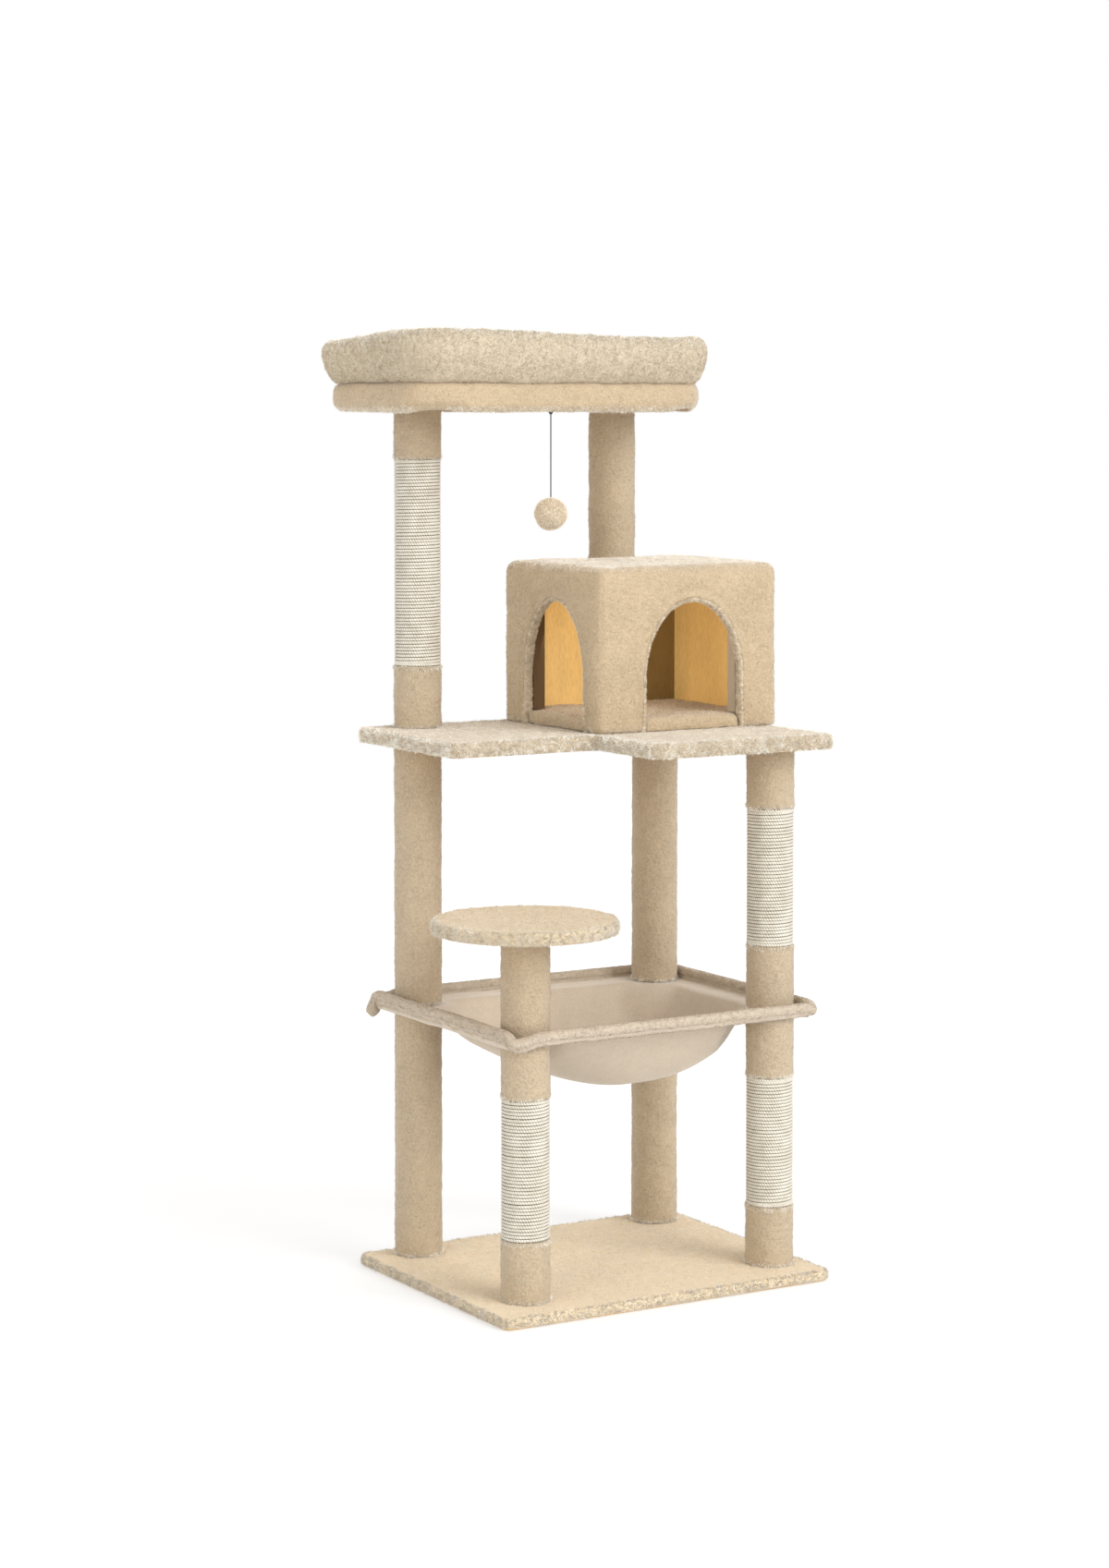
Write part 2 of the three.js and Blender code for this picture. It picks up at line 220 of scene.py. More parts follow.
def loft(name, rings):
    """A closed solid through rings of as many points each, with a flat face at both ends."""
    bm = bmesh.new()
    rows = [[bm.verts.new(v) for v in ring] for ring in rings]
    n = len(rows[0])
    for low, high in zip(rows, rows[1:]):
        for i in range(n):
            bm.faces.new((low[i], low[(i + 1) % n], high[(i + 1) % n], high[i]))
    bm.faces.new(rows[0][::-1])
    bm.faces.new(rows[-1])
    bmesh.ops.recalc_face_normals(bm, faces=bm.faces)
    return from_bmesh(name, bm)


def stack(name, corners, radius, levels, step=0.004):
    """A closed solid of outlines one above the other: levels are (inset, z)."""
    outlines = [outline(corners, radius, inset, step) for inset, _ in levels]
    n = min(len(points) for points in outlines)
    rings = []
    for points, (_, z) in zip(outlines, levels):
        thinned = points[np.round(np.linspace(0, len(points) - 1, n)).astype(int)]
        rings.append(np.c_[thinned, np.full(n, z)])
    return loft(name, rings)


def round_levels(z0, z1, top, bottom=0.0, n=4):
    """Levels of a slab whose top and bottom edges are quarter circles of those radii."""
    turn = np.linspace(0, PI / 2, n)
    head = [(top * (1 - math.cos(t)), z1 - top * (1 - math.sin(t))) for t in turn]
    if not bottom:
        return [(0, z0)] + head
    return [(bottom * (1 - math.sin(t)), z0 + bottom * (1 - math.cos(t))) for t in turn] + head


def soften(obj, voxel, rounds, material):
    """Even quads over a closed solid, with its edges relaxed."""
    mod = obj.modifiers.new("voxels", "REMESH")
    mod.mode, mod.voxel_size = "VOXEL", voxel
    mod = obj.modifiers.new("relax", "SMOOTH")
    mod.factor, mod.iterations = 0.5, rounds
    bake_modifiers(obj)
    obj.data.materials.clear()
    obj.data.materials.append(material)
    smooth_faces(obj)
    obj.data.update()
    return obj


def inflate(obj, held, pressure, most):
    """Blows a closed fabric skin up with the cloth solver, no point further than `most`.

    `held` gives how firmly each point stays, from 0 to 1.
    """
    start = coords(obj)
    group = obj.vertex_groups.new(name="held")
    for value in np.unique(np.round(held, 1)):
        index = np.nonzero(np.round(held, 1) == value)[0].tolist()
        group.add(index, float(value), "REPLACE")
    cloth = obj.modifiers.new("cloth", "CLOTH")
    cloth.collision_settings.use_collision = False
    s = cloth.settings
    s.quality, s.mass, s.air_damping = 5, 0.3, 2
    s.tension_stiffness = s.compression_stiffness = 12
    s.shear_stiffness, s.bending_stiffness = 5, 0.6
    s.use_pressure, s.uniform_pressure_force = True, pressure
    s.effector_weights.gravity = 0
    s.vertex_group_mass = "held"
    s.shrink_min = -0.03
    cloth.point_cache.frame_start, cloth.point_cache.frame_end = 1, 20
    for f in range(1, 21):
        scene.frame_set(f)
    bake_modifiers(obj)
    moved = coords(obj) - start
    far = np.linalg.norm(moved, axis=1, keepdims=True)
    set_coords(obj, start + moved * np.minimum(1, most / np.maximum(far, 1e-9)))
    obj.vertex_groups.clear()
    scene.frame_set(1)


def pile(obj, per_cm2, length, seed, material, body=TREE, width=0.0006, lean=0.8, keep=None,
         nap=(0, 0, -0.4), tuft=0.006, part=""):
    """Fibres over a surface: thin blades that lean at random, in tufts, and along the nap.

    `keep` weighs each face by its middle and normal. `part` names the stretch, where a piece has several.
    """
    rng = np.random.default_rng(seed)
    me = obj.data
    me.calc_loop_triangles()
    tri = np.empty(len(me.loop_triangles) * 3, np.int32)
    me.loop_triangles.foreach_get("vertices", tri)
    tri = tri.reshape(-1, 3)
    co, no = coords(obj), normals(obj)
    a, b, c = co[tri[:, 0]], co[tri[:, 1]], co[tri[:, 2]]
    area = np.linalg.norm(np.cross(b - a, c - a), axis=1) / 2
    if keep is not None:
        area = area * keep((a + b + c) / 3, unit(np.cross(b - a, c - a)))
    count = int(area.sum() * 1e4 * per_cm2)
    pick = rng.choice(len(tri), count, p=area / area.sum())
    w = rng.dirichlet((1, 1, 1), count)[:, :, None]
    root = w[:, 0] * a[pick] + w[:, 1] * b[pick] + w[:, 2] * c[pick]
    n = unit(w[:, 0] * no[tri[pick, 0]] + w[:, 1] * no[tri[pick, 1]] + w[:, 2] * no[tri[pick, 2]])
    wild = rng.normal(size=(count, 3))
    swirl = np.stack([noise(root, tuft, k + seed) for k in range(3)], -1)
    along = unit(n + lean * (0.35 * wild + 0.6 * swirl + np.array(nap)))
    tall = length * rng.uniform(0.5, 1.15, (count, 1))
    across = unit(np.cross(along, n + 0.35 * wild)) * width / 2
    foot = root - n * 0.0004
    verts = np.stack([foot - across, foot + across, foot + along * tall], 1).reshape(-1, 3)
    verts[:, 2] = np.maximum(verts[:, 2], 0)
    blades = np.arange(count * 3).reshape(-1, 3)
    made = add_mesh(f"{obj.name}{part}_pile", verts, blades, material, smooth=False)
    mark(made, "tip", np.tile([0, 0, 1], count))
    mark(made, "tone", np.repeat(rng.random(count), 3))
    return piece(made, body=body)


def mark(obj, name, values):
    """A number per point, for the material to read."""
    layer = obj.data.attributes.new(name, "FLOAT", "POINT")
    layer.data.foreach_set("value", np.asarray(values, np.float32))


def even(points, count):
    """A closed line's points spread evenly along it."""
    closed = np.vstack([points, points[:1]])
    run = np.r_[0, np.cumsum(np.linalg.norm(np.diff(closed, axis=0), axis=1))]
    at = np.linspace(0, run[-1], count, endpoint=False)
    return np.stack([np.interp(at, run, closed[:, k]) for k in range(closed.shape[1])], -1)


def tube_mesh(name, sections, material, closed=False):
    """A skin through equal cross-sections (n, k, 3); the ends of an open one are capped by a point each."""
    sections = np.asarray(sections)
    n, k = sections.shape[:2]
    verts = sections.reshape(-1, 3)
    faces = lattice_faces(n, k, closed)
    if closed:
        return add_mesh(name, verts, faces, material)
    tips = np.array([sections[0].mean(0), sections[-1].mean(0)])
    ring = np.arange(k)
    start = np.stack([np.roll(ring, -1), ring, np.full(k, n * k), np.full(k, n * k)], -1)
    end = np.stack([ring, np.roll(ring, -1), np.full(k, n * k + 1), np.full(k, n * k + 1)], -1)
    end[:, :2] += (n - 1) * k
    obj = add_mesh(name, np.vstack([verts, tips]), faces, material)
    bm = bmesh.new()
    bm.from_mesh(obj.data)
    bm.verts.ensure_lookup_table()
    for a, b, c, _ in np.vstack([start, end]).tolist():
        bm.faces.new((bm.verts[a], bm.verts[b], bm.verts[c])).smooth = True
    bm.to_mesh(obj.data)
    bm.free()
    return obj


# -------------------- colours
BEIGE = (0.48, 0.388, 0.274)  # plush on the posts
WARM = (0.51, 0.40, 0.268)  # plush on the cave and the bed's band
LIT_GOLDEN = (0.75, 0.62, 0.435)  # painted light: a lighter copy of the plush for the base, where the tree above shades it, and for the step
PAINTED_HIGHLIGHT = (0.90, 0.87, 0.80)  # painted highlight: pale fibres on the platforms' edges and tops and at the posts' ends, the cave's roof and the bolster's crest
RIM_HIGHLIGHT = (0.60, 0.56, 0.495)  # painted highlight: greyer pale fibres round the edges of the base and the step
PALE = (0.60, 0.515, 0.39)  # the bed's fleece
CREAM = (0.78, 0.69, 0.55)  # the doors' fleecy trim
WOOL = (0.92, 0.83, 0.69)  # pompom
BRUSHED = (0.57, 0.487, 0.39)  # hammock
ROPE_DARK, ROPE, ROPE_PALE = (0.50, 0.44, 0.34), (0.82, 0.785, 0.69), (0.95, 0.93, 0.86)


# -------------------- materials
def node(m, kind, props=None, **inputs):
    """Adds a node; an input is set to its value, or wired if the value is another node's socket."""
    n = m.node_tree.nodes.new("ShaderNode" + kind)
    for key, value in (props or {}).items():
        setattr(n, key, value)
    for key, value in inputs.items():
        socket = n.inputs[int(key[1:])] if key[1:].isdigit() else n.inputs[key.replace("_", " ")]
        if isinstance(value, bpy.types.NodeSocket):
            m.node_tree.links.new(value, socket)
        else:
            socket.default_value = value
    return n


def material(name, roughness, **uniform):
    m = bpy.data.materials.new(name)
    m.use_nodes = True
    bsdf = m.node_tree.nodes["Principled BSDF"]
    bsdf.inputs["Roughness"].default_value = roughness
    for key, value in uniform.items():
        bsdf.inputs[key.replace("_", " ")].default_value = value
    return m


def finish_material(m, colour, height=None, depth=0.001, strength=1.0):
    """Wires colour and, as a bump, height into the shader."""
    bsdf = m.node_tree.nodes["Principled BSDF"]
    m.node_tree.links.new(colour, bsdf.inputs["Base Color"])
    if height is not None:
        bump = node(m, "Bump", Strength=strength, Distance=depth, Height=height)
        m.node_tree.links.new(bump.outputs["Normal"], bsdf.inputs["Normal"])
    return m


def place(m, stretch=(1, 1, 1)):
    at = node(m, "TexCoord").outputs["Object"]
    return node(m, "Mapping", Vector=at, Scale=stretch).outputs["Vector"]


def cloud(m, at, size, detail=2.0, roughness=0.5):
    """Noise from 0 to 1 with lumps about `size` metres across."""
    return node(m, "TexNoise", Vector=at, Scale=1 / size, Detail=detail, Roughness=roughness).outputs["Fac"]


def blend_colours(m, factor, *colours):
    """A ramp through evenly spaced colours."""
    ramp = node(m, "ValToRGB", Fac=factor)
    e = ramp.color_ramp.elements
    spots = np.linspace(0.28, 0.72, len(colours))
    while len(e) < len(colours):
        e.new(0.5)
    for i, (spot, colour) in enumerate(zip(spots, colours)):
        e[i].position = spot
        e[i].color = (*colour, 1)
    return ramp.outputs["Color"]


def weigh(m, *terms):
    """A weighted sum of sockets: (socket, weight) pairs."""
    total = None
    for socket, weight in terms:
        total = node(m, "Math", {"operation": "MULTIPLY_ADD"}, _0=socket, _1=weight,
                     _2=0.0 if total is None else total).outputs[0]
    return total


def mix(m, factor, a, b, how="MIX"):
    n = node(m, "Mix", {"data_type": "RGBA", "blend_type": how})
    for index, value in ((0, factor), (6, a), (7, b)):
        if isinstance(value, bpy.types.NodeSocket):
            m.node_tree.links.new(value, n.inputs[index])
        elif index == 0:
            n.inputs[0].default_value = value
        else:
            n.inputs[index].default_value = (*value, 1)
    return n.outputs[2]


def ease(m, value, lo, hi):
    """0 below lo, 1 above hi, smooth between."""
    return node(m, "MapRange", {"interpolation_type": "SMOOTHSTEP"}, Value=value, From_Min=lo,
                From_Max=hi).outputs["Result"]


def multiply(m, a, b):
    return mix(m, 1.0, a, b, "MULTIPLY")


def shade(colour, k):
    return tuple(c * k for c in colour)


def plush(name, colour, curl=0.0034, deep=0.0017, contrast=1.0, fibre=False, sheen=0.7):
    """Short pile cloth: patches where the nap lies differently, mottling, and fine curls."""
    m = material(name, 0.92, Sheen_Weight=sheen, Sheen_Roughness=0.35, Sheen_Tint=(1, 0.95, 0.87, 1),
                 Specular_IOR_Level=0.15)
    at = place(m)
    patch = cloud(m, at, 0.07, 2)
    mottle = cloud(m, at, 0.014, 3, 0.6)
    curls = cloud(m, at, curl, 3, 0.65)
    tone = weigh(m, (patch, 0.18), (mottle, 0.16), (curls, 0.66))
    dark, light = shade(colour, 1 - 0.19 * contrast), shade(colour, 1 + 0.15 * contrast)
    base = blend_colours(m, tone, dark, colour, light)
    if fibre:
        # each fibre has its own tone and pales towards its tip
        tip = node(m, "Attribute", {"attribute_name": "tip"}).outputs["Fac"]
        own = node(m, "Attribute", {"attribute_name": "tone"}).outputs["Fac"]
        along = mix(m, tip, (0.80, 0.78, 0.74), (1.14, 1.15, 1.17))
        strand = mix(m, own, (0.84, 0.84, 0.84), (1.14, 1.14, 1.14))
        return finish_material(m, multiply(m, multiply(m, base, along), strand))
    crimp = node(m, "TexVoronoi", {"feature": "F1"}, Vector=at, Scale=0.8 / curl).outputs["Distance"]
    return finish_material(m, base, weigh(m, (curls, 0.9), (crimp, 0.5), (mottle, 0.6)), deep)


def rope_material():
    """Twisted natural fibre: slanting strands, fine hairs along them, and painted shade in the gaps between
    turns.
    """
    m = material("sisal", 0.85, Sheen_Weight=0.15, Specular_IOR_Level=0.25)
    uv = node(m, "UVMap", {"uv_map": "rope"}).outputs["UV"]
    parts = node(m, "SeparateXYZ", Vector=uv)
    run, about = parts.outputs["X"], parts.outputs["Y"]
    turn = weigh(m, (run, 2 * PI / 0.0042), (about, 2 * PI * 2))
    strand = node(m, "Math", {"operation": "SINE"}, _0=turn).outputs[0]
    drawn_out = node(m, "CombineXYZ", X=weigh(m, (run, 250.0), (about, 6.0)), Y=weigh(m, (about, 30.0)))
    hair = cloud(m, drawn_out.outputs[0], 1.0, 3, 0.7)
    tone = weigh(m, (strand, 0.10), (hair, 0.6), (cloud(m, place(m), 0.02, 3), 0.25))
    base = blend_colours(m, tone, ROPE_DARK, ROPE, ROPE_PALE)
    # painted shade: the colour darkens where the rope turns up and down, into the gaps between turns
    outward = node(m, "Math", {"operation": "COSINE"}, _0=weigh(m, (about, 2 * PI))).outputs[0]
    clear = ease(m, outward, 0.05, 0.75)
    base = mix(m, clear, multiply(m, base, (0.22, 0.19, 0.14)), base)
    return finish_material(m, base, weigh(m, (strand, 0.5), (hair, 0.8)), 0.0009)


def board_material(name, colour, grain=(1, 1, 1), painted_shade=None):
    """Pressed board or thin ply: fine flecks drawn out along the grain.

    The last argument, if given, is (x0, x1, share): painted shade, so that past x1 only that share of the
    colour is left.
    """
    m = material(name, 0.55, Specular_IOR_Level=0.3)
    at = place(m, grain)
    flecks = cloud(m, at, 0.0035, 4, 0.7)
    bands = cloud(m, at, 0.05, 3)
    tone = weigh(m, (flecks, 0.5), (bands, 0.5))
    base = blend_colours(m, tone, shade(colour, 0.72), colour, shade(colour, 1.2))
    # painted shade, deepening from x0 to x1 along X
    if painted_shade:
        x0, x1, share = painted_shade
        across = node(m, "SeparateXYZ", Vector=place(m)).outputs["X"]
        base = mix(m, ease(m, across, x0, x1), base, multiply(m, base, (share,) * 3))
    return finish_material(m, base, flecks, 0.0003)


def card_material():
    """Brown wound cardboard, with the edges of its spiral plies."""
    m = material("card", 0.85, Specular_IOR_Level=0.2)
    at = place(m)
    ply = node(m, "TexWave", {"bands_direction": "Z"}, Vector=at, Scale=6.0, Distortion=0.6, Detail=1.0)
    flecks = cloud(m, at, 0.002, 3)
    tone = weigh(m, (flecks, 0.7), (ply.outputs["Fac"], 0.3))
    base = blend_colours(m, tone, (0.20, 0.12, 0.06), (0.36, 0.23, 0.12), (0.44, 0.30, 0.17))
    return finish_material(m, base, flecks, 0.0003)


def steel_material():
    m = material("steel", 0.32, Metallic=1.0)
    at = place(m, (1, 1, 6))
    scuff = cloud(m, at, 0.004, 4, 0.7)
    base = blend_colours(m, scuff, (0.42, 0.42, 0.41), (0.60, 0.60, 0.58), (0.70, 0.69, 0.66))
    return finish_material(m, base, scuff, 0.0002)


def black_material(name, roughness):
    m = material(name, roughness, Specular_IOR_Level=0.4)
    at = place(m)
    dust = cloud(m, at, 0.0012, 3, 0.7)
    base = blend_colours(m, dust, (0.010, 0.010, 0.011), (0.018, 0.018, 0.020), (0.040, 0.039, 0.040))
    return finish_material(m, base, dust, 0.0002)


PLUSH = plush("plush", BEIGE, contrast=1.5)
PLUSH_PILE = plush("plush_pile", BEIGE, contrast=1.3, fibre=True)
WARM_PLUSH = plush("warm_plush", WARM, contrast=1.5)
WARM_PILE = plush("warm_pile", WARM, contrast=1.3, fibre=True)
# painted light: copies of the plush made lighter for the base, and at 0.86 of that for the step
BASE_LIT_CLOTH = plush("base_plush_painted_light", LIT_GOLDEN)
BASE_LIT_PILE = plush("base_pile_painted_light", LIT_GOLDEN, fibre=True)
STEP_LIT_CLOTH = plush("step_plush_painted_light", shade(LIT_GOLDEN, 0.86))
STEP_LIT_PILE = plush("step_pile_painted_light", shade(LIT_GOLDEN, 0.86), fibre=True)
# painted highlight round the base's and the step's edges; the step's rim is painted 1.2 times as light
RIM_HIGHLIGHT_PILE = plush("rim_highlight_pile", RIM_HIGHLIGHT, contrast=1.3, fibre=True)
STEP_RIM_HIGHLIGHT = plush("step_rim_highlight", shade(RIM_HIGHLIGHT, 1.2), contrast=1.3, fibre=True)
# painted highlight: pale fibres with full sheen, for tops and edges
PAINTED_HIGHLIGHT_PILE = plush("painted_highlight_pile", PAINTED_HIGHLIGHT, contrast=1.2, fibre=True, sheen=1.0)
FLEECE = plush("fleece", PALE, 0.0036, 0.0017, 0.8)
FLEECE_PILE = plush("fleece_pile", PALE, 0.0036, contrast=0.8, fibre=True)
TRIM = plush("trim", CREAM, 0.0030, 0.0007, 0.7)
TRIM_PILE = plush("trim_pile", CREAM, 0.0030, fibre=True)
YARN = plush("yarn", WOOL, 0.0026, contrast=0.3)
YARN_PILE = plush("yarn_pile", WOOL, 0.0026, contrast=0.3, fibre=True)
SUEDE = plush("suede", BRUSHED, 0.0020, 0.0008, 1.1)
HEM_PILE = plush("hem_pile", BRUSHED, contrast=1.5, fibre=True)
SISAL = rope_material()
SISAL_HAIR = plush("sisal_hair", ROPE_PALE, fibre=True)
BOARD = board_material("fibreboard", (0.58, 0.36, 0.12))
WALL = board_material("thin_board", (0.95, 0.66, 0.25), (1, 1, 0.25))
# the back wall's copy has painted shade towards its right-hand corner
WALL_BACK_SHADED = board_material("thin_board_back_painted_shade", (0.95, 0.66, 0.25), (1, 1, 0.25), painted_shade=(0.10, 0.22, 0.29))
BATTEN = board_material("batten", (0.42, 0.35, 0.265), (1, 1, 0.12))
# painted shade: a near-black copy of the batten for the left one, in the cave's shade
BATTEN_SHADED = board_material("batten_painted_shade", (0.11, 0.060, 0.022), (1, 1, 0.12))
CARD = card_material()
STEEL = steel_material()
BLACK = black_material("black", 0.42)
THREAD = black_material("thread", 0.8)


# -------------------- toy: cord, pompom, barrel and stud
def toy():
    lo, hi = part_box("toy_barrel")
    x, y, exit_z = (lo.x + hi.x) / 2, (lo.y + hi.y) / 2, lo.z
    ball_lo, ball_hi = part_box("toy_pompom")
    radius, centre = (ball_hi.z - ball_lo.z) / 2, Vector((x, y, (ball_lo.z + ball_hi.z) / 2))

    # pompom: cut yarn standing out all round a soft core
    core = yarn_core("pompom_core", radius * 0.93, centre)
    lump(core, (0.012, 0.0008), (0.004, 0.0003))
    piece(core, ["toy_pompom"], BALL)
    yarn = pile(core, 300, radius * 0.13, 3, YARN_PILE, BALL, width=0.0008, lean=0.6,
                nap=(0, 0, 0), tuft=0.003)

    # the cord, from the barrel's foot to just inside the pompom
    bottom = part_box("toy_cord")[0].z
    curve = bpy.data.curves.new("toy_thread", "CURVE")
    curve.dimensions, curve.bevel_depth, curve.bevel_resolution = "3D", 0.0009, 3
    curve.use_fill_caps = True
    spline = curve.splines.new("POLY")
    heights = np.linspace(exit_z, bottom - 0.0006, 22)
    spline.points.add(len(heights) - 1)
    for point, z in zip(spline.points, heights):
        point.co = (x, y, z, 1)
    thread = add_object("toy_thread", curve, THREAD)
    piece(thread, ["toy_cord"], LINE)

    # barrel with its moulded waist, and a flared mouth that lets the cord swing
    mouth_tip, mouth_rim, mouth_deep = 0.0002, 0.0019, 0.0014
    mouth = [(mouth_tip, mouth_deep), (mouth_rim, 0)]
    wide, tall = (hi.x - lo.x) / 2, hi.z - lo.z
    profile = [(0.45, 0), (0.55, 0.01), (0.60, 0.04), (0.85, 0.18), (0.98, 0.27), (1, 0.30), (1, 0.46),
               (0.97, 0.475), (0.84, 0.485), (0.82, 0.50), (0.82, 0.53), (0.84, 0.545), (0.97, 0.555),
               (1, 0.57), (1, 0.93), (0.97, 0.97), (0.88, 0.995), (0.80, 1)]
    rows = mouth + [(r * wide, z * tall) for r, z in profile]
    piece(spin("toy_barrel_body", rows, (x, y, lo.z), 40, BLACK), ["toy_barrel"])

    # the threaded stud above it
    lo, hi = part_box("toy_stud")
    r, pitch = (hi.x - lo.x) / 2, 0.0008
    z = np.arange(lo.z, hi.z, pitch / 4)
    a = circle(24)
    height, angle = np.meshgrid(z, a, indexing="ij")
    ride = (height / pitch + angle / (2 * PI)) % 1
    rr = r - 0.00035 * np.abs(2 * ride - 1)
    sections = np.stack([x + rr * np.cos(angle), y + rr * np.sin(angle), height], -1)
    piece(tube_mesh("toy_stud_thread", sections, STEEL), ["toy_stud"])


def yarn_core(name, radius, centre):
    """A ball of small even triangles."""
    bm = bmesh.new()
    bmesh.ops.create_icosphere(bm, subdivisions=5, radius=radius, matrix=Matrix.Translation(centre))
    obj = from_bmesh(name, bm, YARN)
    smooth_faces(obj)
    return obj


def spin(name, rows, origin, sides, material):
    """A profile of (radius, height) rows turned about a vertical line; no radius is 0."""
    a = circle(sides)
    sections = [np.stack([r * np.cos(a), r * np.sin(a), np.full(sides, z)], -1) for r, z in rows]
    return tube_mesh(name, np.stack(sections) + np.array(origin), material)


# -------------------- posts
def upright(node_name):
    """A round upright piece's box, axis and radius."""
    lo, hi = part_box(node_name)
    return lo, hi, (lo.x + hi.x) / 2, (lo.y + hi.y) / 2, (hi.y - lo.y) / 2


def sleeve(node_name, seed):
    """Plush glued round a tube: full in the middle, rolled in at both ends, sewn shut at the back."""
    lo, hi, x, y, radius = upright(node_name)
    z0, z1, roll, inner = lo.z + 0.0002, hi.z - 0.0002, 0.0022, 0.0318
    steps = max(4, round((z1 - z0 - 2 * roll) / 0.0034))
    t = np.linspace(0, PI / 2, 4)
    low = [(radius - roll + roll * math.sin(q), z0 + roll - roll * math.cos(q)) for q in t]
    high = [(r, z0 + z1 - z) for r, z in low[::-1]]
    body = [(radius, z) for z in np.linspace(z0 + roll, z1 - roll, steps + 1)[1:-1]]
    profile = np.array([(inner, z0)] + low + body + high + [(inner, z1)])
    columns = 68
    a = circle(columns) + seed
    height, angle = np.meshgrid(profile[:, 1], a, indexing="ij")
    rr = np.repeat(profile[:, :1], columns, 1)
    at = np.stack([x + radius * np.cos(angle), y + radius * np.sin(angle), height], -1)
    skin = rr > radius - roll * 1.5
    seam = np.abs((angle - math.radians(60) + PI) % (2 * PI) - PI) * radius
    push = 0.0007 * noise(at, 0.022, seed) + 0.0005 * noise(at, 0.007, seed + 1)
    push = push - 0.0012 * np.exp(-(seam / 0.0025) ** 2)
    rr = rr + np.where(skin, push - 0.0003, 0)
    sections = np.stack([x + rr * np.cos(angle), y + rr * np.sin(angle), height], -1)
    obj = piece(tube_mesh(node_name + "_sleeve", sections, PLUSH, closed=True), [node_name])
    outside = lambda p: np.hypot(p[:, 0] - x, p[:, 1] - y) > radius - 0.003
    pile(obj, 26, 0.0024, seed, PLUSH_PILE, keep=lambda p, n: outside(p))
    # the cut edges fluff out, in pale fibres painted as a highlight
    from_end = lambda p: np.minimum(p[:, 2] - z0, z1 - p[:, 2])
    pile(obj, 75, 0.0046, seed + 70, PAINTED_HIGHLIGHT_PILE, width=0.0008, part="_ends",
         keep=lambda p, n: outside(p) * (1 - smoothstep(from_end(p), 0.002, 0.008)))


def winding(node_name, seed):
    """Sisal rope wound turn by turn round a tube, its ends tucked in."""
    lo, hi, x, y, outer = upright(node_name)
    thick = 0.0051
    turns = (hi.z - lo.z - thick) / thick
    steps, sides = 64, 10
    s = np.linspace(-1, turns + 1, round((turns + 2) * steps))
    angle = s * 2 * PI + seed
    rng = np.random.default_rng(seed)
    knots = np.arange(-1, int(turns) + 3)
    wander = np.interp(s, knots, rng.normal(0, 0.00011, len(knots)))
    path_r = outer - thick / 2 - 0.0020 * smoothstep(-np.minimum(s, turns - s), 0.5, 1)
    z = lo.z + thick / 2 + s * thick + wander
    z = np.clip(z, lo.z + thick / 2, hi.z - thick / 2)
    b = circle(sides)
    grow = 1 + 0.05 * noise(np.c_[s * 40, s * 0, s * 0], 1.0, seed)
    across = thick / 2 * grow[:, None] * np.cos(b)
    upward = thick / 2 * 0.98 * grow[:, None] * np.sin(b)
    reach = path_r[:, None] + across
    east, north = reach * np.cos(angle)[:, None], reach * np.sin(angle)[:, None]
    sections = np.stack([x + east, y + north, z[:, None] + upward], -1)
    obj = tube_mesh(node_name + "_rope", sections, SISAL)
    uv = obj.data.uv_layers.new(name="rope")
    index = np.empty(len(obj.data.loops), np.int32)
    obj.data.loops.foreach_get("vertex_index", index)
    along = np.r_[np.repeat(s * 2 * PI * outer, sides), s[[0, -1]] * 2 * PI * outer][index]
    about = np.r_[np.tile(np.arange(sides) / sides, len(s)), 0, 0][index]
    first = np.empty(len(obj.data.polygons), np.int32)
    obj.data.polygons.foreach_get("loop_start", first)
    owner = np.searchsorted(first, np.arange(len(index)), side="right") - 1
    start_about = np.minimum.reduceat(about, first)[owner]
    top_about = np.maximum.reduceat(about, first)[owner]
    about = np.where((top_about - start_about > 0.5) & (about < 0.5), about + 1, about)
    uv.data.foreach_set("uv", np.stack([along, about], -1).astype(np.float32).ravel())
    piece(obj, [node_name])
    pile(obj, 2.2, 0.0035, seed + 50, SISAL_HAIR, width=0.00025, lean=2.2, nap=(0, 0, 0),
         keep=lambda p, n: np.hypot(p[:, 0] - x, p[:, 1] - y) > outer - 0.0012)


def posts():
    for i, name in enumerate(sorted(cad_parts)):
        if name.startswith("post_") and "plush" in name:
            sleeve(name, i)
        elif name.endswith("_sisal"):
            winding(name, i)


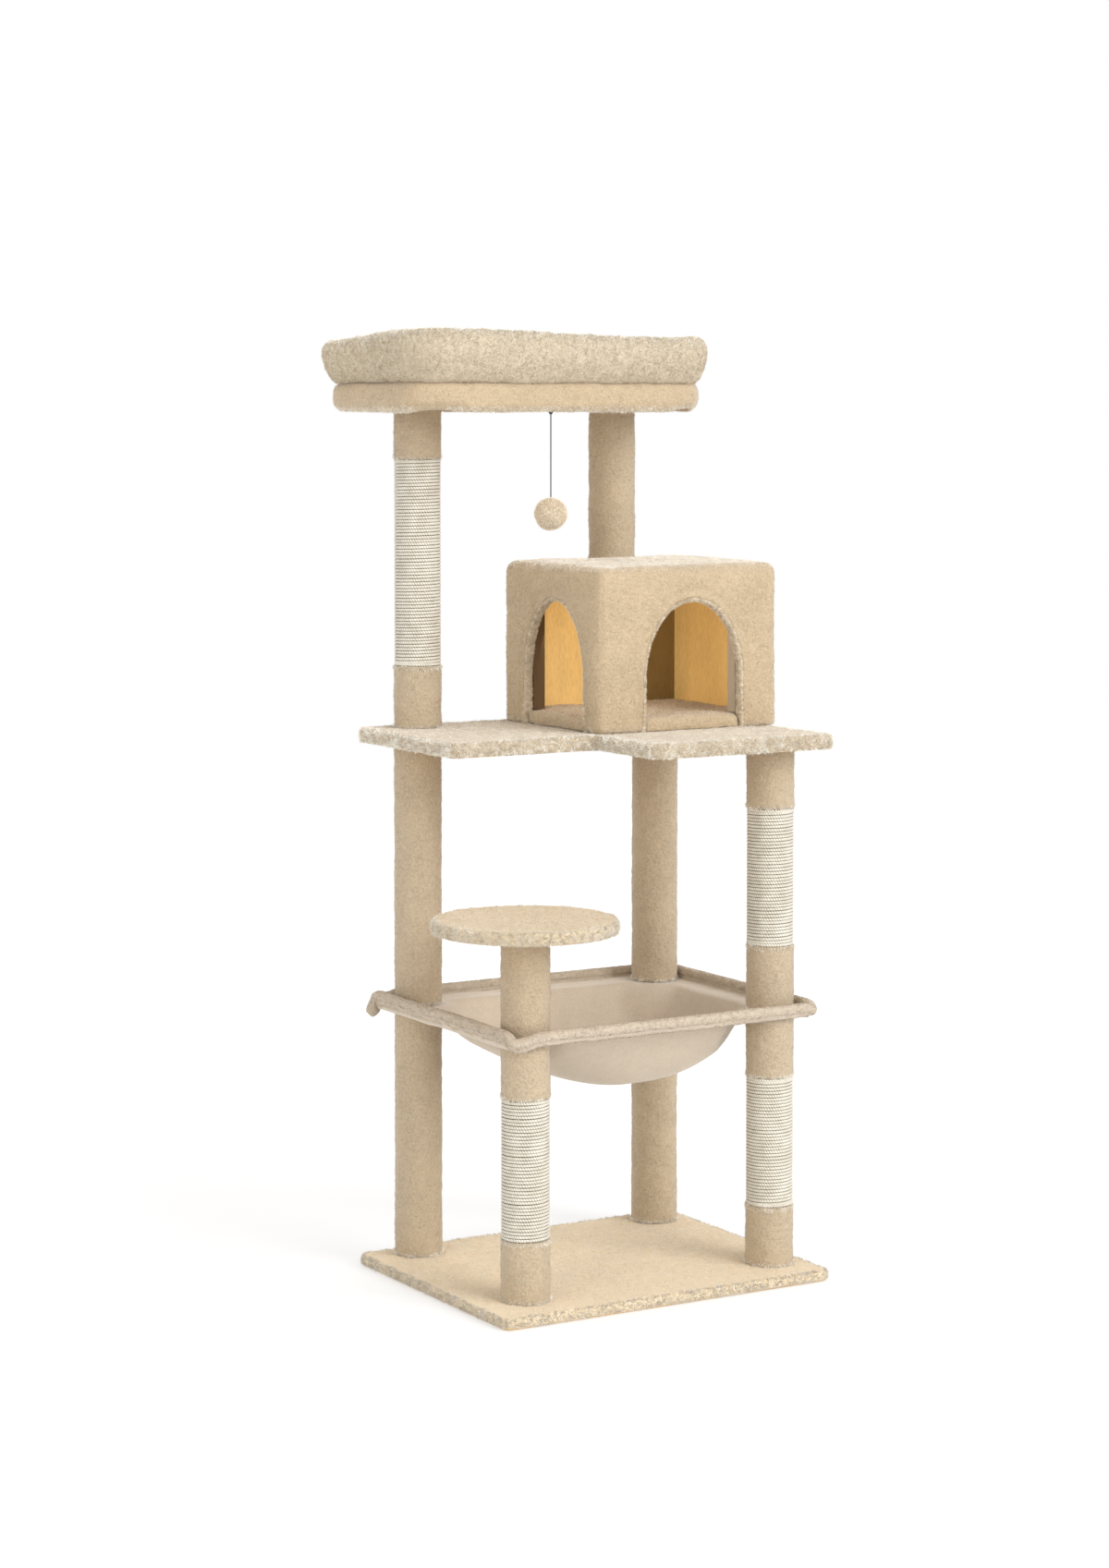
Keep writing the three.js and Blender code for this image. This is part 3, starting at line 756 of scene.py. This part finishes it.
# -------------------- covered boards
def covered(node_name, corners, radius, seed, round_top=0.007, wrap=0.0006, cloth=PLUSH, rim=PAINTED_HIGHLIGHT_PILE,
            top=PAINTED_HIGHLIGHT_PILE):
    """Plush drawn over a board and a little way in under its edges; the rest of the underside stays bare.

    `wrap` is how far the cloth hangs below the board. Below 0, it stops short and isn't turned under.
    """
    lo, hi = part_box(node_name)
    low = lo.z - wrap
    grow = 0 if wrap > 0 else 0.0012
    slab = round_levels(low, hi.z, round_top, 0.003 if wrap > 0 else 0.0006)
    skin = stack(node_name + "_cloth", corners, radius, [(inset - grow, z) for inset, z in slab])
    if wrap > 0:
        hollow = stack(node_name + "_hollow", corners, radius, [(0.010, low - 0.01), (0.010, hi.z - 0.006)])
        skin = cut(skin, hollow)
    obj = soften(skin, 0.0035, 2, cloth)
    flat_below = coords(obj)[:, 2] < lo.z + 0.002
    lump(obj, (0.030, 0.0006), (0.009, 0.0005))
    co = coords(obj)
    co[:, 2] = np.where(flat_below, np.maximum(co[:, 2], low), co[:, 2])
    set_coords(obj, co)
    piece(obj, [node_name])
    middle = (np.array(lo) + np.array(hi)) / 2
    # painted light: the edges and the top get their own fibres, pale highlights or lighter copies of the
    # plush
    edge = lambda p, n: (np.abs(n[:, 2]) < 0.93) * (n[:, 2] > -0.8) * (((p - middle) * n)[:, :2].sum(1) > 0)
    pile(obj, 70, 0.0050, seed, rim, keep=edge, width=0.0009, lean=1.1, nap=(0, 0, -0.1), tuft=0.005)
    flat = lambda p, n: (n[:, 2] > 0.93) * (p[:, 2] > hi.z - 0.004)
    pile(obj, 44, 0.0022, seed + 100, top, keep=flat, nap=(0.3, -0.5, 0), part="_top")


def platforms():
    # the base and the step: plush with painted light, and rims with a painted highlight
    covered("base_cover", rectangle(*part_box("base_cover")), 0.014, 21, wrap=-0.0003, cloth=BASE_LIT_CLOTH,
            rim=RIM_HIGHLIGHT_PILE, top=BASE_LIT_PILE)
    lo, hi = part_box("mid_cover")
    nx, ny = -0.039, -0.074  # the notch's inner corner
    notched = [(nx, lo.y), (hi.x, lo.y), (hi.x, hi.y), (lo.x, hi.y), (lo.x, ny), (nx, ny, 0.006)]
    covered("mid_cover", notched, 0.014, 22)
    lo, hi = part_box("step_cover")
    covered("step_cover", rectangle(lo, hi), (hi.x - lo.x) / 2 - 0.0005, 23, cloth=STEP_LIT_CLOTH, rim=STEP_RIM_HIGHLIGHT,
            top=STEP_LIT_PILE)
    lo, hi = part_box("bed_cover")
    covered("bed_cover", rectangle(*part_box("bed_cover")), 0.058, 24, round_top=0.002)


# -------------------- cave
FRONT_DOOR, LEFT_DOOR = 0.1395, 0.0625  # each door's middle along its wall
DOOR_HALF, DOOR_SPRING, DOOR_TOP = 0.0875, 0.927, 1.047  # half its width, and the arch's foot and crown


def door_line(centre, floor, out=0.0, steps=28):
    """Points (across, z) up one jamb of a cave door, over its arch and down the other."""
    half, rise = DOOR_HALF + out, DOOR_TOP + out - DOOR_SPRING
    jamb = [(half, z) for z in np.linspace(floor, DOOR_SPRING, 15)[:-1]]
    arch = [(half * math.cos(t), DOOR_SPRING + rise * math.sin(t)) for t in np.linspace(0, PI, steps)]
    line = jamb + arch + [(-u, z) for u, z in jamb[::-1]]
    return np.array([(centre + u, z) for u, z in line])


def door_distance(u, z):
    """Roughly how far a point of the wall lies outside a door's edge."""
    rise = np.maximum(z - DOOR_SPRING, 0) / (DOOR_TOP - DOOR_SPRING)
    return (np.hypot(u / DOOR_HALF, rise) - 1) * DOOR_HALF


def prism(name, line, low, high, side):
    """A solid between two planes across the door line; side 0 cuts the front wall and 1 the left one."""
    return loft(name, [[(u, d, z) if side == 0 else (d, u, z) for u, z in line] for d in (low, high)])


def cut(obj, *tools):
    for tool in tools:
        mod = obj.modifiers.new("cut", "BOOLEAN")
        mod.operation, mod.solver, mod.object = "DIFFERENCE", "EXACT", tool
    bake_modifiers(obj)
    for tool in tools:
        bpy.data.objects.remove(tool)
    return obj


def cave_cover():
    lo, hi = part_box("cave_cover")
    z0 = lo.z + 0.0004
    outer = stack("cave_cloth", rectangle(lo, hi), 0.018, round_levels(z0, hi.z, 0.016, n=7), 0.003)
    skin = 0.0092
    inner = stack("cave_hollow", rectangle((lo.x + skin, lo.y + skin), (hi.x - skin, hi.y - skin)), 0.006,
                  [(0, z0 - 0.01), (0, hi.z - skin)])
    doors = [prism("cave_door_front", door_line(FRONT_DOOR, z0 - 0.02, 0.004), lo.y - 0.02, lo.y + 0.03, 0),
             prism("cave_door_left", door_line(LEFT_DOOR, z0 - 0.02, 0.004), lo.x - 0.02, lo.x + 0.03, 1)]
    obj = soften(cut(outer, inner, *doors), 0.0035, 2, WARM_PLUSH)
    co, n = coords(obj), normals(obj)
    middle = np.array([(lo.x + hi.x) / 2, (lo.y + hi.y) / 2, (z0 + hi.z) / 2])
    outward = ((co - middle) * n).sum(1) > 0
    # the cloth swells a little in the middle of each face and is drawn tight at the edges and at the seam
    # sewn round each door
    span = (np.array(hi) - np.array((lo.x, lo.y, z0))) / 2
    rel = np.clip(1 - ((co - middle) / span) ** 2, 0, 1)
    swell = 0.0022 * np.sqrt(np.sort(rel, 1)[:, 1] * np.sort(rel, 1)[:, 2])
    push = swell + 0.0016 * noise(co, 0.075, 31) + 0.0009 * noise(co, 0.028, 32)
    push += 0.0004 * noise(co, 0.009, 33)
    for centre, along, through in ((FRONT_DOOR, 0, 1), (LEFT_DOOR, 1, 0)):
        beyond = door_distance(co[:, along] - centre, co[:, 2])
        push -= 0.0016 * np.exp(-((beyond - 0.0135) / 0.003) ** 2) * (n[:, through] < -0.5)
    co += n * np.where(outward, push + 0.0005, 0)[:, None]
    co[:, 2] = np.maximum(co[:, 2], z0)
    set_coords(obj, co)
    piece(obj, ["cave_cover"])
    outer_skin = lambda p, nn: ((p - middle) * nn).sum(1) > 0.09
    pile(obj, 30, 0.0026, 33, WARM_PILE, keep=lambda p, nn: outer_skin(p, nn) * (nn[:, 2] < 0.6))
    # painted highlight: pale fibres on the roof and along the foot of the walls
    highlighted = lambda p, nn: smoothstep(nn[:, 2], 0.15, 0.8) + (p[:, 2] < z0 + 0.010)
    pile(obj, 80, 0.0028, 37, PAINTED_HIGHLIGHT_PILE, keep=lambda p, nn: outer_skin(p, nn) * highlighted(p, nn),
         nap=(0.2, -0.4, 0), part="_roof")


def door_trim(node_name, centre, side, seed):
    """A fleecy strip sewn round a doorway."""
    lo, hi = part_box(node_name)
    floor = lo.z + 0.0005
    near, far = (lo.y, hi.y) if side == 0 else (lo.x, hi.x)
    line = door_line(centre, floor, 0.0040, 44)
    ahead = np.gradient(line, axis=0)
    out = unit(np.stack([ahead[:, 1], -ahead[:, 0]], -1))
    t = circle(18)
    square = lambda v: np.sign(v) * np.abs(v) ** 0.6
    across, deep = 0.0034 * square(np.cos(t)), ((far - near) / 2 - 0.0010) * square(np.sin(t))
    points = line[:, None, :] + out[:, None, :] * across[None, :, None]
    depth = np.broadcast_to((near + far) / 2 + 0.0010 + deep, points.shape[:2])
    u, z = points[..., 0], points[..., 1]
    sections = np.stack((u, depth, z), -1) if side == 0 else np.stack((depth, u, z), -1)[:, ::-1]
    obj = tube_mesh(node_name + "_fleece", sections, TRIM)
    bm = bmesh.new()
    bm.from_mesh(obj.data)
    bmesh.ops.subdivide_edges(bm, edges=bm.edges[:], cuts=1, use_grid_fill=True)
    bmesh.ops.recalc_face_normals(bm, faces=bm.faces)
    bm.to_mesh(obj.data)
    bm.free()
    lump(obj, (0.012, 0.0006), (0.004, 0.0003))
    keep_above(obj, floor)
    piece(obj, [node_name])
    pile(obj, 230, 0.0036, seed, TRIM_PILE, width=0.0008, lean=1.0,
         keep=lambda p, n: (n[:, 1 - side] < 0.6) * 1.0, nap=(0, 0, 0), tuft=0.004)


def cave_pad():
    """A soft floor with a lip out through each door."""
    lo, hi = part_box("cave_pad")
    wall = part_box("cave_wall_left")[1].x + 0.0006
    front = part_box("cave_wall_front")[1].y + 0.0006
    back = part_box("cave_wall_back")[0].y - 0.0006
    half = DOOR_HALF - 0.001
    f0, f1, s0, s1 = FRONT_DOOR - half, FRONT_DOOR + half, LEFT_DOOR - half, LEFT_DOOR + half
    corners = [(wall, front), (f0, front), (f0, lo.y), (f1, lo.y), (f1, front), (hi.x, front), (hi.x, back),
               (wall, back), (wall, s1), (lo.x, s1), (lo.x, s0), (wall, s0)]
    slab = round_levels(lo.z + 0.0003, hi.z - 0.001, 0.007)
    obj = soften(stack("cave_cushion", corners, 0.004, slab), 0.004, 2, WARM_PLUSH)
    co = coords(obj)
    inset = inside_of(co, (wall, front), (hi.x, back))
    held = 1 - 0.8 * smoothstep(inset, 0.004, 0.03) * (co[:, 2] > lo.z + 0.010)
    inflate(obj, held, 3.0, 0.004)
    lump(obj, (0.040, 0.0014), (0.015, 0.0010), (0.007, 0.0006))
    keep_above(obj, lo.z + 0.0003)
    piece(obj, ["cave_pad"])
    pile(obj, 18, 0.0030, 34, WARM_PILE, keep=lambda p, n: n[:, 2] > -0.2, lean=1.2, nap=(0, 0, 0))


# -------------------- hammock
def hammock():
    """One cloth clamped between the posts: a deep smooth belly, a stitched hem, and sides that stand up."""
    level = 0.410  # where the posts clamp it
    left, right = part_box("post_a_lower_plush"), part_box("post_d_lower_tube")
    ax = [(left[0].x + left[1].x) / 2, (right[0].x + right[1].x) / 2]
    ay = [(right[0].y + right[1].y) / 2, (left[0].y + left[1].y) / 2]
    corner, sag, dip = 0.040, 0.114, 0.024
    lowest = (0.035, 0.016)
    level_x, level_y = (0.040, 0.040), (0.044, 0.046)  # how far past the posts' lines the cloth lies level
    hem_x, hem_y = (0.033, 0.026), (0.024, 0.024)  # and how much of it then stands up

    low = np.array([ax[0] - level_x[0] - hem_x[0], ay[0] - level_y[0] - hem_y[0]])
    high = np.array([ax[1] + level_x[1] + hem_x[1], ay[1] + level_y[1] + hem_y[1]])
    rim = even(outline(rectangle(low, high), corner), 340)
    middle = (low + high) / 2
    # rows of points lie closer together towards the rim, where the hem is rolled and stitched
    near_edge = 1 - np.array([0, .0035, .009, .016, .024, .032, .040, .046, .051, .056, .062, .070, .080,
                              .092, .106, .125, .145])
    s = np.r_[near_edge, np.linspace(0.83, 0.03, 32)]
    flat = middle + (rim - middle)[None] * s[:, None, None]

    def edge_distance(p):
        q = np.abs(p - middle) - ((high - low) / 2 - corner)
        return corner - np.linalg.norm(np.maximum(q, 0), axis=-1) - np.minimum(q.max(-1), 0)

    def belly(at, deepest, ends, powers):
        """1 at the deepest point, falling to 0 at the posts."""
        before, after = (deepest - at) / (deepest - ends[0]), (at - deepest) / (ends[1] - deepest)
        t = np.where(at < deepest, before, after)
        return np.clip(1 - np.clip(t, 0, None) ** np.where(at < deepest, *powers), 0, 1)

    def shape(p):
        x, y = p[..., 0], p[..., 1]
        u, v = belly(x, lowest[0], ax, (1.7, 3.2)), belly(y, lowest[1], ay, (2.8, 2.8))
        away = np.min([np.hypot(x - a, y - b) for a in ax for b in ay], axis=0)
        free = smoothstep(away, 0.044, 0.090)
        within = smoothstep(x - ax[0], -0.020, 0.040) * smoothstep(ax[1] - x, -0.012, 0.030)
        z = level - sag * u * v * free - dip * v * (1 - u) * free * within
        z = z - 0.006 * smoothstep(ax[0] - x, 0.004, 0.036)
        # past the posts the cloth lies level, then its hem stands up all round
        bx = np.clip(x, ax[0] - level_x[0], ax[1] + level_x[1])
        by = np.clip(y, ay[0] - level_y[0], ay[1] + level_y[1])
        reach = np.hypot(x - bx, y - by)
        aim = np.stack([x - bx, y - by], -1) / np.maximum(reach, 1e-6)[..., None]
        # the corner behind the left posts has flopped outward
        flop = smoothstep(-2 * aim[..., 0] * aim[..., 1], 0.15, 0.9) * (x < 0)
        flop = flop * smoothstep(reach, 0.002, 0.012)
        t = np.linspace(0, 1, 24)
        tilt = math.radians(78) * smoothstep(reach[..., None] * t, -0.004, 0.014)
        tilt = tilt * (1 - 1.6 * flop[..., None])
        run, rise = reach * np.cos(tilt).mean(-1), reach * np.sin(tilt).mean(-1)
        return np.stack([bx + aim[..., 0] * run, by + aim[..., 1] * run, z + rise], -1)

    d = edge_distance(flat)
    mid = shape(flat)
    du = np.roll(mid, -1, 1) - np.roll(mid, 1, 1)
    dv = np.gradient(mid, axis=0)
    n = unit(np.cross(du, dv))
    n *= np.sign(n[..., 2].mean())

    roll, hem = 0.0078, 0.0155
    body = 0.0030 + 0.0010 * smoothstep(0.05 - d, 0, 0.04)
    half = np.where(d < roll, np.sqrt(np.clip(roll ** 2 - (roll - d) ** 2, 0, None)), roll)
    half = np.where(d > roll, roll + (body - roll) * smoothstep(d, 0.014, 0.026), half)
    groove = np.exp(-((d - hem) / 0.0028) ** 2)
    pucker = np.exp(-((d - hem) / 0.0110) ** 2)
    crinkle = noise(mid, 0.010, 41) * 0.0024 + noise(mid, 0.024, 42) * 0.0020
    half = half - groove * 0.0030 + pucker * 0.35 * crinkle
    near_post = np.min([np.hypot(flat[..., 0] - a, flat[..., 1] - b) for a in ax for b in ay], axis=0)
    clamp = smoothstep(near_post, 0.036, 0.048)
    half = half * clamp + np.minimum(half, 0.0036) * (1 - clamp)
    spread = np.concatenate([flat, np.zeros(flat.shape[:-1] + (1,))], -1)
    wave = clamp * (0.0012 * noise(spread, 0.060, 43) * smoothstep(0.09 - d, 0, 0.05)
                    + 0.0008 * noise(spread, 0.020, 44) * smoothstep(0.06 - d, 0, 0.03)
                    + pucker * 0.5 * crinkle)
    mid = mid + n * (wave * (d > 1e-5))[..., None]
    top, under = mid + n * half[..., None], mid - n * half[..., None]

    # the two faces meet at the rim; each closes on a point in the middle
    obj = tube_mesh("hammock_cloth", np.concatenate([top[::-1], under[1:]]), SUEDE)
    piece(obj, ["hammock"])

    def hem_band(p, nn):
        """The hem, but for the groove that its stitches pull in."""
        d = edge_distance(unfold(p, mid, flat))
        return (d < 0.023) * (np.abs(d - hem) > 0.0016)

    pile(obj, 95, 0.0042, 45, HEM_PILE, keep=hem_band, width=0.0008, lean=1.1, nap=(0, 0, 0), tuft=0.005)


def unfold(p, mid, flat):
    """The flat place of the cloth's nearest point to each p."""
    places, flats = mid.reshape(-1, 3), flat.reshape(-1, 2)
    tree = KDTree(len(places))
    for i, q in enumerate(places):
        tree.insert(q, i)
    tree.balance()
    return np.array([flats[tree.find(q)[1]] for q in p])


# -------------------- bed
def bed():
    board_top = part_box("bed_cover")[1].z
    lo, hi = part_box("bed_pad")
    r_lo, r_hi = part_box("bed_bolster")
    corners = rectangle(lo, hi)

    def ring(out):
        return even(outline(corners, 0.070, -out, 0.003), 430)

    # the pad: a soft band whose rim hangs round the board, and a cushion inside the bolster
    z0, z1, lip, under_roll = lo.z + 0.0004, r_lo.z + 0.0010, 0.0045, 0.012
    levels = [(0.0120, z0), (0.0085, z0 + 0.0010), (0.0080, z0 + lip)]
    levels += [(under_roll * 0.55 * (1 - math.sin(t)), z0 + lip + under_roll * (1 - math.cos(t)))
               for t in np.linspace(0.35, PI / 2, 6)]
    levels += [(-0.0006, (z0 + z1) / 2 + 0.004), (0.0010, z1 - 0.006), (0.004, z1 - 0.001),
               (0.010, z1 + 0.001), (0.030, z1 + 0.002)]
    pocket = stack("bed_pocket", corners, 0.070, [(0.0150, z0 - 0.02), (0.0150, board_top - 0.002)])
    pad = soften(cut(stack("bed_cushion", corners, 0.070, levels), pocket), 0.0040, 2, WARM_PLUSH)
    co = coords(pad)
    held = 1 - 0.9 * smoothstep(inside_of(co, lo, hi), 0.04, 0.09) * (co[:, 2] > z1 - 0.006)
    inflate(pad, held, 3.0, 0.010)
    lump(pad, (0.060, 0.0016), (0.022, 0.0010), (0.008, 0.0005))
    co = coords(pad)
    # the rim is drawn up round the corners
    middle, half = (np.array(lo) + np.array(hi)) / 2, (np.array(hi) - np.array(lo)) / 2
    away = np.abs((co - middle) / half)
    at_corner = smoothstep(away[:, 0] * away[:, 1], 0.62, 0.85)
    co[:, 2] += 0.008 * at_corner * (1 - smoothstep(co[:, 2], z0, z0 + 0.026))
    co[:, 2] = np.maximum(co[:, 2], z0 - 0.001)
    set_coords(pad, co)
    piece(pad, ["bed_pad"])
    seen = lambda p, n: (inside_of(p, lo, hi) < 0.012) | ((inside_of(p, lo, hi) > 0.028) & (n[:, 2] > 0))
    pile(pad, 16, 0.0030, 51, WARM_PILE, nap=(0, 0, -0.3),
         keep=lambda p, n: seen(p, n) * (p[:, 2] > z0 + 0.008))
    # painted highlight: pale fibres along the band's lower lip
    pile(pad, 60, 0.0036, 55, PAINTED_HIGHLIGHT_PILE, nap=(0, 0, -0.3), part="_edge",
         keep=lambda p, n: seen(p, n) * (p[:, 2] < z0 + 0.011))

    # the bolster: a full round roll that leans outward, its height wavering along the way
    t = circle(44)
    base, crown, lean = r_lo.z + 0.0005, r_hi.z - 0.003, 0.016
    power = lambda v, e: np.sign(v) * np.abs(v) ** e
    up = (np.sin(t) + 1) / 2
    out = -0.0190 + 0.0245 * power(np.cos(t), 0.90) + lean * up
    path = ring(0)
    n = len(path)
    sections = np.empty((n, len(t), 3))
    for j in range(len(t)):
        sections[:, j, :2] = ring(out[j])
        sections[:, j, 2] = base + up[j] * (crown - base)
    where = np.c_[path, np.zeros(n)]
    x, y = path.T
    # highest at the front left; lower along to the right and round to the back
    to_back = smoothstep(y, 0.06, 0.30) * (1 - 0.6 * smoothstep(x, -0.2, 0))
    droop = 0.008 * smoothstep(x, -0.20, 0.02) + 0.015 * to_back
    waver = 0.0018 * noise(where, 0.11, 52) + 0.0010 * noise(where, 0.05, 53) - droop
    sections[..., 2] += (up[None] ** 2) * waver[:, None]
    sections[..., 2] -= ((1 - up[None]) ** 2) * (0.0016 + 0.0022 * noise(where, 0.10, 57))[:, None]
    bolster = tube_mesh("bed_bolster_roll", sections, FLEECE, closed=True)
    soften(bolster, 0.0042, 2, FLEECE)
    co = coords(bolster)
    lift = smoothstep(co[:, 2], base + 0.006, base + 0.022)
    inflate(bolster, 1 - 0.85 * lift, 4.0, 0.004)
    lump(bolster, (0.050, 0.0016), (0.018, 0.0010), (0.007, 0.0007))
    keep_above(bolster, base - 0.005)
    piece(bolster, ["bed_bolster"])
    pile(bolster, 56, 0.0036, 54, FLEECE_PILE, width=0.0007, lean=1.1, nap=(0, 0, -0.2),
         keep=lambda p, nn: nn[:, 2] > -0.85)
    # painted highlight: pale fibres over the bolster's upper side
    pile(bolster, 85, 0.0036, 58, PAINTED_HIGHLIGHT_PILE, width=0.0007, nap=(0, 0, 0), part="_crest",
         keep=lambda p, nn: smoothstep(nn[:, 2], 0.05, 0.6))


# -------------------- what the CAD already has right
def bare_parts():
    # a later key that is also in a node's name wins
    # the back wall and the left batten take the copies with painted shade
    looks = {"_board": BOARD, "_tube": CARD, "cave_wall": WALL, "cave_wall_back": WALL_BACK_SHADED,
             "cave_roof": WALL, "batten_front": BATTEN, "batten_left": BATTEN_SHADED, "bolt": STEEL}
    for name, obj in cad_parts.items():
        for key, look in looks.items():
            if key in name:
                obj.data.materials.clear()
                obj.data.materials.append(look)
        if "bolt" in name:
            smooth_faces(obj)
            obj.data.set_sharp_from_angle(angle=math.radians(40))


# -------------------- room
def room():
    scene.view_settings.view_transform = "Standard"
    world = bpy.data.worlds.new("studio")
    world.use_nodes = True
    backdrop = world.node_tree.nodes["Background"]
    backdrop.inputs["Color"].default_value = (1, 1, 1, 1)
    backdrop.inputs["Strength"].default_value = 1.0
    scene.world = world

    paint = material("floor_paint", 0.9, Emission_Color=(1, 1, 1, 1), Emission_Strength=0.40)
    finish_material(paint, blend_colours(paint, cloud(paint, place(paint), 0.5), (0.55,) * 3, (0.57,) * 3))
    reach, level = 6, -0.0005
    corners = [(x, y, level) for x, y in rectangle((-reach, -reach), (reach, reach))]
    floor = add_mesh("floor", corners, [(0, 1, 2, 3)], paint)

    suns = [("key", (0.30, -0.80, 0.39), 1.9, 40, (1, 1, 1)),
            ("fill", (-0.85, -0.42, 0.20), 0.5, 25, (1, 0.92, 0.78))]
    for name, toward, energy, spread, tint in suns:
        light = bpy.data.lights.new(name, "SUN")
        light.energy, light.angle, light.color = energy, math.radians(spread), tint
        lamp = bpy.data.objects.new(name, light)
        lamp.rotation_euler = Vector(toward).to_track_quat("Z", "Y").to_euler()
        scene.collection.objects.link(lamp)

    # a small lamp inside the cave, turned to its right wall
    light = bpy.data.lights.new("cave_lamp", "AREA")
    light.size, light.energy = 0.10, 0.155
    lamp = bpy.data.objects.new("cave_lamp", light)
    lamp.location = (0.0, 0.09, 1.02)
    lamp.rotation_euler = Vector((-1, 0.15, 0.3)).to_track_quat("Z", "Y").to_euler()
    scene.collection.objects.link(lamp)


camera()
toy()
posts()
platforms()
cave_cover()
door_trim("door_trim_front", FRONT_DOOR, 0, 35)
door_trim("door_trim_left", LEFT_DOOR, 1, 36)
cave_pad()
hammock()
bed()
bare_parts()
room()
